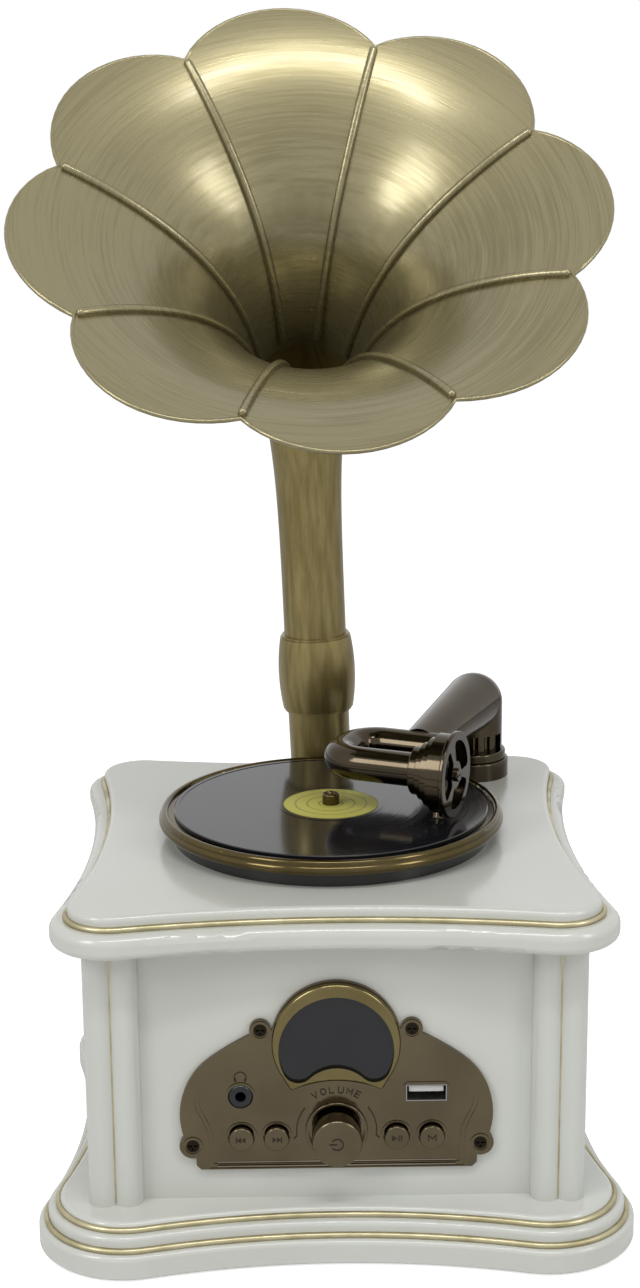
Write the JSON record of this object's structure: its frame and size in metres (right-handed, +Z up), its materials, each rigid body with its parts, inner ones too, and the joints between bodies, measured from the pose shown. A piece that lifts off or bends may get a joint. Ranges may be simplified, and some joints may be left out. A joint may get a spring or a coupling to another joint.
{
  "type": "gramophone speaker",
  "caption": "Retro gramophone speaker: lobed lacquered box with pillars, a control panel, a turntable with a record, a swinging tonearm and a turning petal horn.",
  "frame": {"origin": "centre of the middle foot's underside, on the surface it stands on", "axes": "+X to the right seen from the front, +Y to the back, +Z up; the control panel faces -Y"},
  "size_m": [0.2013, 0.1956, 0.3955],
  "materials": {
    "antique_brass": "brushed",
    "black_nickel": "polished dark plating",
    "black_plastic": "matte",
    "circuit_green": "matte",
    "cone_paper": "matte",
    "dark_lacquer": "gloss",
    "display_glass": "gloss",
    "foot_rubber": "matte",
    "gold_trim": "polished",
    "label_paper": "matte",
    "mica": "satin",
    "satin_brass": "satin",
    "steel": "brushed",
    "vinyl": "gloss",
    "white_lacquer": "gloss lacquer",
    "white_plastic": "gloss"
  },
  "bodies": {
    "cabinet": {"plinth": "white_lacquer", "plinth_beads": "gold_trim", "base_cover": "black_plastic", "base_screws": "steel", "feet": "foot_rubber", "tie_rods": "steel", "pillars": "white_lacquer", "pillar_stripes": "gold_trim", "front_panel": "white_lacquer", "side_panels": "white_lacquer", "rear_panel": "white_lacquer", "top_board": "white_lacquer", "board_bead": "gold_trim", "fascia": "black_nickel", "fascia_screws": "black_nickel", "display_bezel": "black_nickel", "display_lens": "display_glass", "knob_collar": "black_nickel", "encoder_body": "black_plastic", "push_switches": "black_plastic", "control_board": "circuit_green", "headphone_jack": "black_nickel", "usb_socket": "steel", "usb_tongue": "white_plastic", "turntable_base": "dark_lacquer", "spindle_bush": "steel", "gear_motor": "steel", "tonearm_base": "black_nickel", "horn_socket": "black_nickel", "speaker_frame": "steel", "speaker_cone": "cone_paper", "dc_inlet": "black_plastic", "main_board": "circuit_green"},
    "platter": {"spindle": "steel", "platter": "black_nickel", "record": "vinyl", "record_label": "label_paper", "spindle_cap": "black_nickel"},
    "tonearm": {"arm_pivot": "steel", "arm_column": "black_nickel", "arm_tube": "black_nickel", "gooseneck": "black_nickel", "neck_ring": "black_nickel"},
    "sound_box": {"sound_box": "black_nickel", "sound_box_plate": "black_nickel", "diaphragm": "mica", "hub_screw": "black_nickel", "needle_holder": "black_nickel"},
    "horn": {"horn_tube": "satin_brass", "horn_collar": "satin_brass", "horn_neck": "satin_brass", "horn_bell": "antique_brass", "bell_ring": "antique_brass"},
    "volume_rotor": {"encoder_rotor": "black_plastic"},
    "volume_knob": {"volume_knob": "black_nickel", "encoder_shaft": "steel"},
    "button_previous": {"button_previous": "black_nickel"},
    "button_next": {"button_next": "black_nickel"},
    "button_play": {"button_play": "black_nickel"},
    "button_mode": {"button_mode": "black_nickel"}
  },
  "joints": [
    {"name": "platter_spin", "type": "hinge", "parent": "cabinet", "child": "platter", "pos_m": [0, -0.005, 0.118], "axis": [0, 0, 1], "continuous": true},
    {"name": "tonearm_swing", "type": "hinge", "parent": "cabinet", "child": "tonearm", "pos_m": [0.0547, 0.0626, 0.1247], "axis": [0, 0, 1], "range_deg": [-14, 20]},
    {"name": "sound_box_turn", "type": "hinge", "parent": "tonearm", "child": "sound_box", "pos_m": [0.02121, -0.01443, 0.1439], "axis": [-0.9171, 0.3987, 0], "range_deg": [0, 75]},
    {"name": "horn_turn", "type": "hinge", "parent": "cabinet", "child": "horn", "pos_m": [-0.00235, 0.067, 0.118], "axis": [-0.0354, 0, 0.9994], "range_deg": [-90, 90]},
    {"name": "volume_turn", "type": "hinge", "parent": "cabinet", "child": "volume_rotor", "pos_m": [0, -0.0756, 0.0408], "axis": [0, 1, 0], "continuous": true},
    {"name": "volume_push", "type": "slide", "parent": "volume_rotor", "child": "volume_knob", "axis": [0, 1, 0], "range_m": [0, 0.0008], "stiffness_N_per_m": 900, "springref_m": -0.001},
    {"name": "previous_press", "type": "slide", "parent": "cabinet", "child": "button_previous", "axis": [0, 1, 0], "range_m": [0, 0.0008], "stiffness_N_per_m": 900, "springref_m": -0.001},
    {"name": "next_press", "type": "slide", "parent": "cabinet", "child": "button_next", "axis": [0, 1, 0], "range_m": [0, 0.0008], "stiffness_N_per_m": 900, "springref_m": -0.001},
    {"name": "play_press", "type": "slide", "parent": "cabinet", "child": "button_play", "axis": [0, 1, 0], "range_m": [0, 0.0008], "stiffness_N_per_m": 900, "springref_m": -0.001},
    {"name": "mode_press", "type": "slide", "parent": "cabinet", "child": "button_mode", "axis": [0, 1, 0], "range_m": [0, 0.0008], "stiffness_N_per_m": 900, "springref_m": -0.001}
  ]
}
